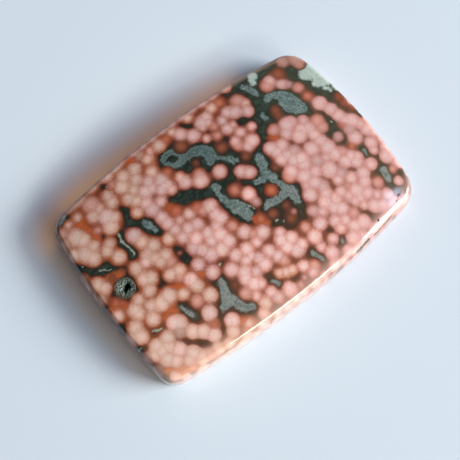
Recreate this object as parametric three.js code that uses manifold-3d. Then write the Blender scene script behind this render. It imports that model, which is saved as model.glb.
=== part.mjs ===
// Ocean jasper cabochon lying on its flat back: a low dome over a bowed, rounded rectangle, with one small
// druzy hollow in its face. Millimetres, +Z up. X runs along the length and Y across the width. The origin
// is on the back, under the middle of the outline's box.
import * as THREE from "three";
import { ParametricGeometry } from "three/addons/geometries/ParametricGeometry.js";
import { mergeVertices } from "three/addons/utils/BufferGeometryUtils.js";
import Module from "manifold-3d";

// Outline: four bowed sides, cut by hand and so not quite alike, that meet in rounded corners
const cornerLength = 39.9; // between the corners before they are rounded, along the length
const cornerWidth = 25.7; // the same across the width
const bow = { south: 1.7, east: 1.2, north: 1.6, west: 0.9 }; // how far each side's middle stands out
const cornerRadius = { southEast: 3.5, northEast: 3.5, northWest: 3.1, southWest: 2.4 };
const sideSteps = { long: 26, short: 18 };
const cornerSteps = 10;

// Profile, from the flat back up to the crown
const stoneHeight = 6.0;
const baseChamfer = 0.4; // bevel around the back
const girdleHeight = 1.9; // top of the upright wall
const shoulderWidth = 1.05; // plan width of the turn from the wall to the dome
const lengthSag = 1.0; // how far the dome has dropped at the ends
const widthSag = 0.75; // the same at the long sides
const shoulderSteps = 9;
const domeRings = 11;

// Druzy hollow near the west end
const hollow = { x: -17.1, y: 0, radius: 1.45, depth: 2.0 };
const hollowSegments = { around: 32, down: 20 };

// The crust that lines it, from the middle of its underside over its rim to the bottom of its hole. It stays
// 0.12 clear of the stone.
const crustProfile = [
  { radius: 0, depth: 1.8 },
  { radius: 0.75, depth: 1.6 },
  { radius: 1.16, depth: 1.0 },
  { radius: 1.3, depth: 0.45 },
  { radius: 1.33, depth: 0.08 },
  { radius: 1.12, depth: 0.1 },
  { radius: 0.62, depth: 0.4 },
  { radius: 0.5, depth: 1.0 },
  { radius: 0, depth: 1.35 },
];
const crustSegments = 28;
const crystal = { count: 30, radius: 0.17, length: 0.42, sides: 6 };
const crystalSize = { middle: 0.8, spread: 0.35, turn: 2.7 }; // sizes follow a sine of the crystal's number
const crystalRoot = { outerRadius: 1.08, innerRadius: 0.52, outerDepth: 0.34, innerDepth: 1.15 };
const crystalRise = 1.5; // rise of the outermost crystal for a run of 1; those further in lean over more
const goldenAngle = Math.PI * (3 - Math.sqrt(5));

const sameVertex = 1e-5; // vertices closer than this are one

const wasm = await Module();
wasm.setup();

// A closed geometry as a solid that can be cut and joined. Triangles that a pole has folded to a line go.
function toSolid(geometry) {
  const bare = geometry.clone();
  bare.deleteAttribute("normal");
  bare.deleteAttribute("uv");
  const merged = mergeVertices(bare, sameVertex);
  const corners = merged.index.array;
  const triVerts = [];
  for (let i = 0; i < corners.length; i += 3) {
    const [a, b, c] = corners.slice(i, i + 3);
    if (a !== b && b !== c && c !== a) triVerts.push(a, b, c);
  }
  return new wasm.Manifold(
    new wasm.Mesh({
      numProp: 3,
      vertProperties: merged.attributes.position.array,
      triVerts: new Uint32Array(triVerts),
    }),
  );
}

function toGeometry(solid) {
  const mesh = solid.getMesh();
  const geometry = new THREE.BufferGeometry();
  geometry.setAttribute("position", new THREE.BufferAttribute(mesh.vertProperties, mesh.numProp));
  geometry.setIndex(new THREE.BufferAttribute(mesh.triVerts, 1));
  geometry.computeVertexNormals();
  return geometry;
}

// The circle of a side that runs from one corner to the next and stands out by its bow.
function sideCircle(from, to, standOut) {
  const chord = from.distanceTo(to);
  const radius = chord ** 2 / (8 * standOut) + standOut / 2;
  const outward = new THREE.Vector2(to.y - from.y, from.x - to.x).normalize();
  const centre = from.clone().lerp(to, 0.5).addScaledVector(outward, standOut - radius);
  return { centre, radius };
}

// The circle of a corner, which touches both sides' circles from within.
function cornerCircle(corner, before, after, radius) {
  const reachBefore = before.radius - radius;
  const reachAfter = after.radius - radius;
  const between = after.centre.clone().sub(before.centre);
  const apart = between.length();
  const along = between.divideScalar(apart);
  const across = new THREE.Vector2(-along.y, along.x);
  const foot = (reachBefore ** 2 - reachAfter ** 2 + apart ** 2) / (2 * apart);
  const offset = Math.sqrt(reachBefore ** 2 - foot ** 2);
  const choices = [offset, -offset].map((side) =>
    before.centre.clone().addScaledVector(along, foot).addScaledVector(across, side),
  );
  choices.sort((p, q) => p.distanceTo(corner) - q.distanceTo(corner));
  return { centre: choices[0], radius };
}

// Points of an arc, each with the direction that faces out of the stone there. The next arc adds the
// last one.
function arcPoints(circle, startToward, endToward, steps) {
  const start = startToward.angle();
  const sweep = THREE.MathUtils.euclideanModulo(endToward.angle() - start, 2 * Math.PI);
  const { centre, radius } = circle;
  const arc = new THREE.ArcCurve(centre.x, centre.y, radius, start, start + sweep, false);
  return arc
    .getPoints(steps)
    .slice(0, -1)
    .map((point) => ({ point, outward: point.clone().sub(centre).divideScalar(radius) }));
}

// The whole outline, anticlockwise seen from above.
function makeOutline() {
  const east = (bow.west - bow.east) / 2 + cornerLength / 2;
  const west = east - cornerLength;
  const north = (bow.south - bow.north) / 2 + cornerWidth / 2;
  const south = north - cornerWidth;
  const { southWest, southEast, northEast, northWest } = cornerRadius;
  const { long, short } = sideSteps;
  const corners = [
    { x: west, y: south, radius: southWest, bow: bow.south, steps: long },
    { x: east, y: south, radius: southEast, bow: bow.east, steps: short },
    { x: east, y: north, radius: northEast, bow: bow.north, steps: long },
    { x: west, y: north, radius: northWest, bow: bow.west, steps: short },
  ];
  const next = (i) => (i + 1) % corners.length;
  const previous = (i) => (i + corners.length - 1) % corners.length;
  const places = corners.map(({ x, y }) => new THREE.Vector2(x, y));
  const sides = corners.map((corner, i) => sideCircle(places[i], places[next(i)], corner.bow));
  const rounds = corners.map((corner, i) =>
    cornerCircle(places[i], sides[previous(i)], sides[i], corner.radius),
  );
  const toward = (side, round) => round.centre.clone().sub(side.centre);
  return corners.flatMap((corner, i) => {
    const before = toward(sides[previous(i)], rounds[i]);
    const here = toward(sides[i], rounds[i]);
    const after = toward(sides[i], rounds[next(i)]);
    const rounding = arcPoints(rounds[i], before, here, cornerSteps);
    return rounding.concat(arcPoints(sides[i], here, after, corner.steps));
  });
}

function domeHeight(x, y) {
  const endDrop = lengthSag * (x / (cornerLength / 2)) ** 2;
  const sideDrop = widthSag * (y / (cornerWidth / 2)) ** 2;
  return stoneHeight - endDrop - sideDrop;
}

// Rings of the stone's skin from the middle of the back, round the edge, to the crown. Each one turns a
// point of the outline into a point of the skin.
function makeRings() {
  const inset = ({ point, outward }, distance) => point.clone().addScaledVector(outward, -distance);
  const level = (distance, height) => (rim) => {
    const place = inset(rim, distance);
    return new THREE.Vector3(place.x, place.y, height);
  };
  const shoulder = (turn) => (rim) => {
    const place = inset(rim, shoulderWidth * (1 - Math.cos(turn)));
    const rise = domeHeight(place.x, place.y) - girdleHeight;
    return new THREE.Vector3(place.x, place.y, girdleHeight + rise * Math.sin(turn));
  };
  const dome = (scale) => (rim) => {
    const place = inset(rim, shoulderWidth).multiplyScalar(scale);
    return new THREE.Vector3(place.x, place.y, domeHeight(place.x, place.y));
  };
  const middleOfBack = () => new THREE.Vector3();
  const rings = [middleOfBack, level(baseChamfer, 0), level(0, baseChamfer)];
  for (let step = 0; step <= shoulderSteps; step++) {
    rings.push(shoulder((step / shoulderSteps) * (Math.PI / 2)));
  }
  for (let step = 1; step <= domeRings; step++) rings.push(dome(1 - step / domeRings));
  return rings;
}

function makeSkin() {
  const outline = makeOutline();
  const rings = makeRings();
  const around = outline.length;
  const up = rings.length - 1;
  const skin = (u, v, target) => {
    const rim = outline[Math.round(u * around) % around];
    target.copy(rings[Math.round(v * up)](rim));
  };
  return new ParametricGeometry(skin, around, up);
}

// The hollow's own frame: its middle on the dome, its Z axis square to the dome there.
function makeHollowFrame() {
  const slopeX = (-2 * lengthSag * hollow.x) / (cornerLength / 2) ** 2;
  const slopeY = (-2 * widthSag * hollow.y) / (cornerWidth / 2) ** 2;
  const square = new THREE.Vector3(-slopeX, -slopeY, 1).normalize();
  const turn = new THREE.Quaternion().setFromUnitVectors(new THREE.Vector3(0, 0, 1), square);
  const place = new THREE.Vector3(hollow.x, hollow.y, domeHeight(hollow.x, hollow.y));
  return new THREE.Matrix4().compose(place, turn, new THREE.Vector3(1, 1, 1));
}

function makeHollow() {
  return new THREE.SphereGeometry(hollow.radius, hollowSegments.around, hollowSegments.down)
    .rotateX(Math.PI / 2)
    .scale(1, 1, hollow.depth / hollow.radius)
    .applyMatrix4(makeHollowFrame());
}

// One stubby quartz point, rooted in the crust's inner slope and leaning in towards the middle.
function makeCrystal(index) {
  const { lerp } = THREE.MathUtils;
  const share = (index + 0.5) / crystal.count;
  const around = index * goldenAngle;
  const out = new THREE.Vector3(Math.cos(around), Math.sin(around), 0);
  const size = crystalSize.middle + crystalSize.spread * Math.sin(crystalSize.turn * index);
  const root = out.clone();
  root.multiplyScalar(lerp(crystalRoot.outerRadius, crystalRoot.innerRadius, Math.sqrt(share)));
  root.z = -lerp(crystalRoot.outerDepth, crystalRoot.innerDepth, share);
  const lean = out.clone().negate();
  lean.z = crystalRise - share;
  const turn = new THREE.Quaternion().setFromUnitVectors(new THREE.Vector3(0, 1, 0), lean.normalize());
  return new THREE.ConeGeometry(crystal.radius * size, crystal.length * size, crystal.sides)
    .applyQuaternion(turn)
    .translate(root.x, root.y, root.z);
}

function makeCrust() {
  const profile = crustProfile.map(({ radius, depth }) => new THREE.Vector2(radius, -depth));
  let crust = toSolid(new THREE.LatheGeometry(profile, crustSegments).rotateX(Math.PI / 2));
  for (let index = 0; index < crystal.count; index++) crust = crust.add(toSolid(makeCrystal(index)));
  return crust;
}

const stone = new THREE.Mesh(
  toGeometry(toSolid(makeSkin()).subtract(toSolid(makeHollow()))),
  new THREE.MeshStandardMaterial({ color: 0xcb8f80, roughness: 0.12, metalness: 0 }),
);
stone.name = "stone";

const crust = new THREE.Mesh(
  toGeometry(makeCrust()),
  new THREE.MeshStandardMaterial({ color: 0x6c776f, roughness: 0.3, metalness: 0 }),
);
crust.name = "druzy_crust";
crust.applyMatrix4(makeHollowFrame());

const cabochon = new THREE.Group();
cabochon.add(stone, crust);

export default cabochon;
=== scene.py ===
import math
from types import SimpleNamespace

import bpy
import numpy as np
from mathutils import Matrix, Vector, noise


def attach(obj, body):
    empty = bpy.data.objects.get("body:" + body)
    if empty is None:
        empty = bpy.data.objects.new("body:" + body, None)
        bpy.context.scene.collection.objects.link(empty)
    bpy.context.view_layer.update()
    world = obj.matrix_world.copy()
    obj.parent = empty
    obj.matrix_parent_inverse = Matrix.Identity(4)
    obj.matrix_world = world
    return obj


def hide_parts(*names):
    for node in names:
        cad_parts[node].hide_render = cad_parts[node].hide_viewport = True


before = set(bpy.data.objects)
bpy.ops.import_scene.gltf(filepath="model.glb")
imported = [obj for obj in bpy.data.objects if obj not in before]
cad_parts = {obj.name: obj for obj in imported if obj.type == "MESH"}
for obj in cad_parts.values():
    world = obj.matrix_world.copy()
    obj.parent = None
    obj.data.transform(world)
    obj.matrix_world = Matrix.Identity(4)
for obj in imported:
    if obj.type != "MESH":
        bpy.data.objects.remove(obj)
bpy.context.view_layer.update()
mm = 0.001
print("frame loaded:", sorted(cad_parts))


# Stone: sizes in millimetres, the same as the solid's
stoneSizes = {
    "cornerLength": 39.9,  # between the corners before they are rounded
    "cornerWidth": 25.7,
    "bow": {"south": 1.7, "east": 1.2, "north": 1.6, "west": 0.9},
    "cornerRadius": {"southWest": 2.4, "southEast": 3.5, "northEast": 3.5, "northWest": 3.1},
    "height": 6.0,
    "backRounding": 0.4,  # around the edge of the back
    "girdle": 1.9,  # top of the upright wall
    "shoulder": 1.05,  # plan width of the turn from the wall to the dome
    "edgeFlat": {"tilt": 28, "depth": 0.018},  # ground all round, where the turn ends
    "lengthSag": 1.0,
    "widthSag": 0.75,
}
stoneMesh = {
    "along": (16, 14),  # the block is cut into 16 x 14 strips along its length
    "across": (15, 10),
    "wallSteps": 5,
    "roundSteps": 4,
    # tilt of the skin at each level of the shoulder, in degrees
    "shoulderTilts": [
        90, 84, 77, 70, 63, 56, 50, 45, 41, 38, 35.5, 33.5, 31, 28.5, 26.5, 24, 21, 17, 12, 7, 0,
    ],
    "outlineSteps": (400, 260),  # along and across, where only the outline is read
    "smoothBelow": 55,  # degrees
}
hollow = {"x": -17.1, "y": 0.0, "radius": 1.34, "depth": 1.9, "rim": 0.1}
pinholes = [(12.7, -12.57, 0.16), (16.95, -11.6, 0.13), (16.2, -12.05, 0.1)]
facet = {"azimuth": -77.5, "tilt": 29, "x": 15.8, "reach": 2, "depth": 0.072}  # ground along the shoulder


def vec2(x, y):
    return np.array((x, y), float)


def turn90(v):
    return vec2(-v[1], v[0])


def sideCircle(start, end, bow):
    # circle through both corners that stands out by the bow at its middle
    chord = np.linalg.norm(end - start)
    radius = chord ** 2 / (8 * bow) + bow / 2
    outward = -turn90(end - start) / chord
    return {"centre": (start + end) / 2 + outward * (bow - radius), "radius": radius}


def cornerCircle(corner, before, after, radius):
    # circle that touches both sides from within
    reachBefore = before["radius"] - radius
    reachAfter = after["radius"] - radius
    between = after["centre"] - before["centre"]
    apart = np.linalg.norm(between)
    foot = (reachBefore ** 2 - reachAfter ** 2 + apart ** 2) / (2 * apart)
    offset = math.sqrt(reachBefore ** 2 - foot ** 2)
    base = before["centre"] + between / apart * foot
    choices = [base + turn90(between) / apart * side for side in (offset, -offset)]
    centre = min(choices, key=lambda c: np.linalg.norm(c - corner))
    return {"centre": centre, "radius": radius}


def arcBetween(circle, fromAngle, toAngle):
    return {**circle, "start": fromAngle, "sweep": (toAngle - fromAngle) % (2 * math.pi)}


def sampleArcs(arcs, steps):
    # evenly spaced points along a run of arcs, with the direction that faces out of the stone
    lengths = np.array([arc["radius"] * arc["sweep"] for arc in arcs])
    ends = np.cumsum(lengths)
    places, normals = [], []
    for s in np.linspace(0, ends[-1], steps + 1):
        n = min(int(np.searchsorted(ends, s)), len(arcs) - 1)
        share = (s - (ends[n] - lengths[n])) / lengths[n]
        angle = arcs[n]["start"] + arcs[n]["sweep"] * share
        normal = vec2(math.cos(angle), math.sin(angle))
        normals.append(normal)
        places.append(arcs[n]["centre"] + normal * arcs[n]["radius"])
    return np.array(places), np.array(normals)


def outlineSides(sizes, alongSteps, acrossSteps):
    # each side runs from the middle of one rounded corner to the middle of the next
    bow = sizes["bow"]
    east = (bow["west"] - bow["east"]) / 2 + sizes["cornerLength"] / 2
    north = (bow["south"] - bow["north"]) / 2 + sizes["cornerWidth"] / 2
    west, south = east - sizes["cornerLength"], north - sizes["cornerWidth"]
    corners = [vec2(west, south), vec2(east, south), vec2(east, north), vec2(west, north)]
    names = ["south", "east", "north", "west"]
    radii = [sizes["cornerRadius"][c] for c in ("southWest", "southEast", "northEast", "northWest")]
    sides = [sideCircle(corners[i], corners[(i + 1) % 4], bow[names[i]]) for i in range(4)]
    rounds = [cornerCircle(corners[i], sides[i - 1], sides[i], radii[i]) for i in range(4)]

    def meeting(corner, side):
        away = rounds[corner]["centre"] - sides[side]["centre"]
        return math.atan2(away[1], away[0])

    def middle(corner):
        before = meeting(corner, corner - 1)
        return before + ((meeting(corner, corner) - before) % (2 * math.pi)) / 2

    runs = {}
    for i, name in enumerate(names):
        j = (i + 1) % 4
        first, last = meeting(i, i), meeting(j, i)
        arcs = [
            arcBetween(rounds[i], middle(i), first),
            arcBetween(sides[i], first, last),
            arcBetween(rounds[j], last, middle(j)),
        ]
        places, normals = sampleArcs(arcs, alongSteps if name in ("south", "north") else acrossSteps)
        if name in ("north", "west"):  # run the way X and Y do
            places, normals = places[::-1], normals[::-1]
        runs[name] = (places, normals)
    return runs


def domeHeight(x, y):
    endDrop = stoneSizes["lengthSag"] * (x / (stoneSizes["cornerLength"] / 2)) ** 2
    sideDrop = stoneSizes["widthSag"] * (y / (stoneSizes["cornerWidth"] / 2)) ** 2
    return stoneSizes["height"] - endDrop - sideDrop


def edgeProfile():
    # for each level up the edge: how far in it is, its height, and its share of the rise to the dome
    rounding, girdle = stoneSizes["backRounding"], stoneSizes["girdle"]
    levels = []
    for n in range(stoneMesh["roundSteps"]):
        turn = n / stoneMesh["roundSteps"] * math.pi / 2
        levels.append((rounding * (1 - math.sin(turn)), rounding * (1 - math.cos(turn)), 0))
    for n in range(stoneMesh["wallSteps"]):
        levels.append((0, rounding + (girdle - rounding) * n / stoneMesh["wallSteps"], 0))
    width, rise = stoneSizes["shoulder"], stoneSizes["height"] - stoneSizes["widthSag"] - girdle
    flatTilt = math.radians(stoneSizes["edgeFlat"]["tilt"])
    turn = math.atan2(rise, width * math.tan(flatTilt))
    limit = rise * math.sin(turn) * math.cos(flatTilt) - width * (1 - math.cos(turn)) * math.sin(flatTilt)
    limit -= stoneSizes["edgeFlat"]["depth"]
    for tilt in np.radians(stoneMesh["shoulderTilts"]):
        turn = math.atan2(rise * math.cos(tilt), width * math.sin(tilt))
        inset, up = width * (1 - math.cos(turn)), rise * math.sin(turn)
        past = max(0, up * math.cos(flatTilt) - inset * math.sin(flatTilt) - limit)
        levels.append((inset + past * math.sin(flatTilt), girdle, (up - past * math.cos(flatTilt)) / rise))
    return np.array(levels)


def readPoints(piece):
    flat = np.empty(len(piece.data.vertices) * 3)
    piece.data.vertices.foreach_get("co", flat)
    return flat.reshape(-1, 3)


def writePoints(piece, points):
    piece.data.vertices.foreach_set("co", points.astype(np.float32).ravel())
    piece.data.update()


def setMode(mode):
    bpy.ops.object.mode_set(mode=mode)


def selectNothing():
    if bpy.context.object and bpy.context.object.mode != "OBJECT":
        setMode("OBJECT")
    bpy.ops.object.select_all(action="DESELECT")


def selectOnly(piece):
    selectNothing()
    piece.select_set(True)
    bpy.context.view_layer.objects.active = piece


def subdivideAlong(piece, axis, cuts):
    # cuts every edge that runs along one axis
    points = readPoints(piece)
    ends = np.empty(len(piece.data.edges) * 2, np.int32)
    piece.data.edges.foreach_get("vertices", ends)
    ends = ends.reshape(-1, 2)
    span = np.abs(points[ends[:, 0]] - points[ends[:, 1]])
    setMode("EDIT")
    bpy.ops.mesh.select_mode(type="EDGE")
    bpy.ops.mesh.select_all(action="DESELECT")
    setMode("OBJECT")
    piece.data.edges.foreach_set("select", span[:, axis] > 0.9 * span.sum(1))
    setMode("EDIT")
    bpy.ops.mesh.subdivide(number_cuts=cuts)
    setMode("OBJECT")


def faceOutward():
    bpy.ops.mesh.select_all(action="SELECT")
    bpy.ops.mesh.normals_make_consistent(inside=False)
    setMode("OBJECT")


def coons(south, north, west, east, u, v):
    # a patch stretched between four edges
    i, j = np.rint(u * (len(south) - 1)).astype(int), np.rint(v * (len(west) - 1)).astype(int)
    u, v = u[:, None], v[:, None]
    straight = (1 - v) * south[i] + v * north[i] + (1 - u) * west[j] + u * east[j]
    corners = (
        (1 - u) * (1 - v) * south[0] + u * (1 - v) * south[-1]
        + (1 - u) * v * north[0] + u * v * north[-1]
    )
    return straight - corners


def settleStone(cells, counts):
    # turns the block's cell numbers into places on the stone
    alongSteps, acrossSteps, upSteps = counts
    runs = outlineSides(stoneSizes, alongSteps, acrossSteps)
    levels = edgeProfile()
    i, j, k = cells.T
    inset, height, rise = levels[k].T
    plan = np.zeros((len(cells), 2))
    for name, onSide, n in (
        ("south", j == 0, i), ("north", j == acrossSteps, i),
        ("west", i == 0, j), ("east", i == alongSteps, j),
    ):
        places, normals = runs[name]
        plan[onSide] = places[n[onSide]] - inset[onSide, None] * normals[n[onSide]]
    inner = (i > 0) & (i < alongSteps) & (j > 0) & (j < acrossSteps)
    for level in (0, upSteps):
        flat = inner & (k == level)
        rings = [
            runs[name][0] - levels[level][0] * runs[name][1] for name in ("south", "north", "west", "east")
        ]
        plan[flat] = coons(*rings, i[flat] / alongSteps, j[flat] / acrossSteps)
    top = (k == upSteps) & inner
    z = height + rise * (domeHeight(plan[:, 0], plan[:, 1]) - stoneSizes["girdle"])
    return np.column_stack((plan, z)), top


def sinkHollow(points, top):
    middle, radius = vec2(hollow["x"], hollow["y"]), hollow["radius"]
    away = points[:, :2] - middle
    distance = np.linalg.norm(away, axis=1)
    rim = top & (np.abs(distance - radius) < hollow["rim"])
    points[rim, :2] = middle + away[rim] * (radius / distance[rim])[:, None]
    inside = top & (distance < radius) & ~rim
    points[inside, 2] -= hollow["depth"] * np.sqrt(1 - (distance[inside] / radius) ** 2)
    for x, y, depth in pinholes:
        distance = np.linalg.norm(points[:, :2] - vec2(x, y), axis=1)
        points[np.argmin(np.where(top, distance, np.inf)), 2] -= depth
    return points


def grindFacet(points):
    # what stands out past the facet's plane goes back onto it
    azimuth, tilt = math.radians(facet["azimuth"]), math.radians(facet["tilt"])
    flat = math.sin(tilt)
    square = np.array((math.cos(azimuth) * flat, math.sin(azimuth) * flat, math.cos(tilt)))
    beside = np.abs(points[:, 0] - facet["x"]) < facet["reach"]
    furthest = (points[beside] @ square).max()
    past = points @ square - (furthest - facet["depth"])
    return points - np.maximum(past, 0)[:, None] * square


def makeStone():
    selectNothing()
    bpy.ops.mesh.primitive_cube_add(size=1, location=(0, 0, 0))
    stone = bpy.context.object
    stone.name = "polished_stone"
    upSteps = len(edgeProfile()) - 1
    for axis, runs in ((0, stoneMesh["along"]), (1, stoneMesh["across"]), (2, (upSteps,))):
        for segments in runs:
            subdivideAlong(stone, axis, segments - 1)
    counts = np.array([math.prod(stoneMesh["along"]), math.prod(stoneMesh["across"]), upSteps])
    cells = np.rint((readPoints(stone) + 0.5) * counts).astype(int)
    points, top = settleStone(cells, counts)
    writePoints(stone, sinkHollow(grindFacet(points), top) * mm)
    setMode("EDIT")
    faceOutward()
    bpy.ops.object.shade_smooth_by_angle(angle=math.radians(stoneMesh["smoothBelow"]))
    print("stone modelled:", len(stone.data.polygons), "faces")
    return stone


# Orbs read on the dome: x, y, radius in millimetres, and the kind where it isn't the list's usual one
orbKinds = {
    "a": {"warm": 1.0, "deep": 0.0, "dull": 0.0, "light": 0.5},  # peach
    "w": {"warm": 0.2, "deep": 0.0, "dull": 0.0, "light": 0.9},  # pale, bright centre
    "p": {"warm": 0.1, "deep": 0.0, "dull": 0.0, "light": 0.5},  # pink
    "s": {"warm": 0.5, "deep": 0.45, "dull": 0.0, "light": 0.4},  # salmon
    "o": {"warm": 1.0, "deep": 0.9, "dull": 0.0, "light": 0.4},  # orange
    "r": {"warm": 0.2, "deep": 0.9, "dull": 0.1, "light": 0.3},  # red
    "u": {"warm": 0.7, "deep": 0.8, "dull": 0.8, "light": 0.1},  # rust brown, deep in the stone
    "m": {"warm": 0.0, "deep": 0.0, "dull": 0.25, "light": 0.4},  # mauve
    "d": {"warm": 1.0, "deep": 0.15, "dull": 0.25, "light": 0.2},  # dim peach
}
orbsNorthWest = [
    (-17.9, 10.8, .6), (-19.1, 10.4, .8, "d"), (-16.5, 10.9, .7), (-14.2, 11.2, 1.2, "s"),
    (-11.9, 10.8, .85), (-12, 9.7, .95), (-14.9, 9.7, .95), (-13.7, 10.1, .8), (-13.6, 8.6, 1.15, "w"),
    (-13.9, 7.2, 1.1), (-12.9, 7.9, .9), (-15.5, 7.9, .65, "s"), (-18.1, 8.9, 1.3), (-17.6, 8, 1.1),
    (-19.6, 7.2, .95), (-19.7, 9, .9, "d"), (-18.4, 6.4, 1.2), (-17, 6.6, .9), (-17.9, 5.4, 1.1),
    (-15.3, 5.6, .8), (-16.1, 5, .9), (-12.4, 4.45, 1.05, "p"), (-10.3, 6.6, .8), (-10.1, 8.7, .95),
    (-9.5, 7.9, .9), (-8.7, 6.9, .95, "p"), (-8.6, 5.7, 1, "p"), (-7.9, 8.2, 1, "p"), (-9.8, 10.6, 1.1),
    (-7.9, 10.2, 1), (-8.9, 11.6, 1), (-7.2, 11.5, 1), (-6.8, 9, .9, "p"), (-7, 8, .9, "p"),
    (-10.6, 11.6, .6, "s"), (-8.9, 9.3, .9), (-16.6, 12.9, .9, "d"), (-15.8, 12.7, .9, "d"),
    (-14.9, 12.5, .8, "d"), (-12.9, 13.2, .95), (-11, 13.4, .8), (-10.4, 13, .9), (-9, 13.4, .9),
    (-8.1, 13.6, .8), (-6, 13.7, .9, "p"), (-4.5, 13.8, .9, "p"), (-3, 13.9, .9, "p"),
    (-1.4, 13.9, .9, "p"), (.2, 13.9, .9, "p"), (1.8, 13.9, .9, "p"), (3.4, 13.8, .9, "p"),
    (5, 13.7, .9, "p"), (6.6, 13.6, .8, "p"), (8.8, 13.4, .8),
]
orbsNorth = [
    (-5.6, 12.6, .7, "d"), (-5.1, 11.5, .85, "a"), (-5, 10.6, .55, "o"), (-2.9, 12.1, .95, "a"),
    (-1.7, 12.2, .7, "o"), (-.5, 12.6, .7, "a"), (.15, 11.6, .95), (1.3, 10.4, 1), (-.8, 10.2, .9, "u"),
    (2.3, 12.9, .7, "a"), (3.3, 11.2, 1), (4.3, 11.5, .8), (3.9, 10.7, .7), (3, 10.6, .6),
    (5.6, 12.1, .8, "a"), (6.8, 12.1, .75, "o"), (-4.2, 8.5, .65, "o"), (-5.7, 9.8, .9, "a"),
    (-5.5, 8.2, 1), (-5.4, 7.2, 1), (-6.2, 7, .85), (-5.2, 6.3, .75), (-3.4, 7, .7, "a"), (-3.3, 6, .95),
    (-1.65, 4.95, 1.05), (-1.3, 5.7, .75, "s"), (-.7, 7.2, .4, "u"), (2.4, 9, .65), (3.7, 8.5, .65, "s"),
    (4.2, 9.7, .6, "s"), (5.3, 8.4, .85), (6.2, 8.4, .5), (5.5, 9.8, .7), (6.7, 10.3, .8), (7.5, 9.7, 1),
    (3.1, 6.8, .8, "u"), (5, 6.4, .75), (4.9, 5.6, .7, "s"), (6.3, 7, .75), (7.9, 6.8, .65, "w"),
    (6.8, 5.2, .95), (5.9, 4.9, .8), (-7.2, 5.9, .8),
]
orbsNorthEast = [
    (8.8, 10.8, .9), (9.4, 9.9, .6, "a"), (8.9, 8.8, .8, "p"), (13.2, 10.1, .85), (14, 10.5, .8, "p"),
    (15.5, 10.6, 1, "u"), (14.9, 9.2, .75, "p"), (15.5, 8.6, .5, "m"), (16.3, 7.4, .75),
    (16.4, 5.7, .75, "r"), (19, 11.1, 1.1, "d"), (18.7, 10.1, .7, "d"), (17.2, 11.7, .8, "d"),
    (19.6, 3.2, .7, "u"), (19.7, 2.1, .7, "u"), (20, 1, .6, "u"), (18.6, -8.6, .5), (11.8, 6.7, .6, "u"),
    (11.6, 5.9, .5, "u"),
]
orbsWest = [
    (-20.6, 4.1, .8, "d"), (-19.4, 2.4, .95), (-19, 1.5, .95), (-20.1, .6, .8, "d"), (-19, -.8, .65, "o"),
    (-18.4, -1.3, .4, "r"), (-19.7, -2.2, .9), (-16.6, -2.2, .85), (-17.7, -2.9, 1), (-17.6, -3.6, .9),
    (-18.9, -4.6, 1), (-15.4, 3.5, 1), (-12.1, 3.2, .95), (-11.2, 2, 1), (-12.5, 1.6, .9),
    (-13.2, .9, .8, "w"), (-14.6, 1, .95), (-12, .6, .9), (-10.8, .1, .95), (-11.8, -.2, .9),
    (-10.8, -1, .8, "s"), (-14.6, -.6, 1), (-13.9, -1, 1), (-14.9, -2.1, .9), (-11.8, -2.2, .9),
    (-10.6, -2.5, .9), (-11.1, -3.1, .7, "s"), (-10.2, -4.2, .95, "w"), (-8.4, -3.3, .9, "p"),
    (-9.3, 1.4, .85), (-15.9, -3.7, .9), (-14.8, -4.3, 1.1), (-13.5, -4.1, 1.15), (-16.6, -5.1, 1),
    (-12, -5, .85), (-8.3, 4.2, .9, "p"), (-8.2, 3.1, .9, "p"), (-7.9, 1.9, .8, "p"), (-7.8, .5, .9, "p"),
    (-7.6, -1.3, .9, "p"), (-9.3, -.8, .22, "m"), (-17.5, 1.9, .55, "u"),
]
orbsCentre = [
    (-6.4, 3.7, .8, "o"), (-5.4, 2.4, .8), (-4.2, 2.4, .8, "o"), (-3.9, 1.7, .7, "s"), (-2.8, 1.6, 1),
    (-2.9, .3, .9), (-2.7, -.4, .95), (-5.4, .7, .9), (-6.6, 1, .9), (-6.6, -.6, 1, "w"), (-5.1, -.9, .9),
    (-4, -2, 1, "w"), (-3.7, -.9, .8), (-5.3, -2, .9), (-6.4, -3.3, 1), (-5, -3.6, 1), (-3.7, -3.3, 1),
    (-2.2, -2.1, .75, "s"), (-1.5, -3.6, .95), (-.8, -4.4, .7, "s"), (.95, 4.4, .95), (3, 2.8, .85),
    (3.8, 2, .9), (.9, 1.3, .85, "r"), (1.95, -.15, .95, "w"), (2.05, -1.5, .65, "m"),
    (4.4, -1.5, .78, "o"), (1.1, -3.5, .65, "o"), (2.7, -4, .7, "u"), (4.7, -4.1, .5, "u"),
    (4.8, 4, .6, "u"), (6.7, .5, .5, "u"), (-6.9, -2.2, .9),
]
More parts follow.
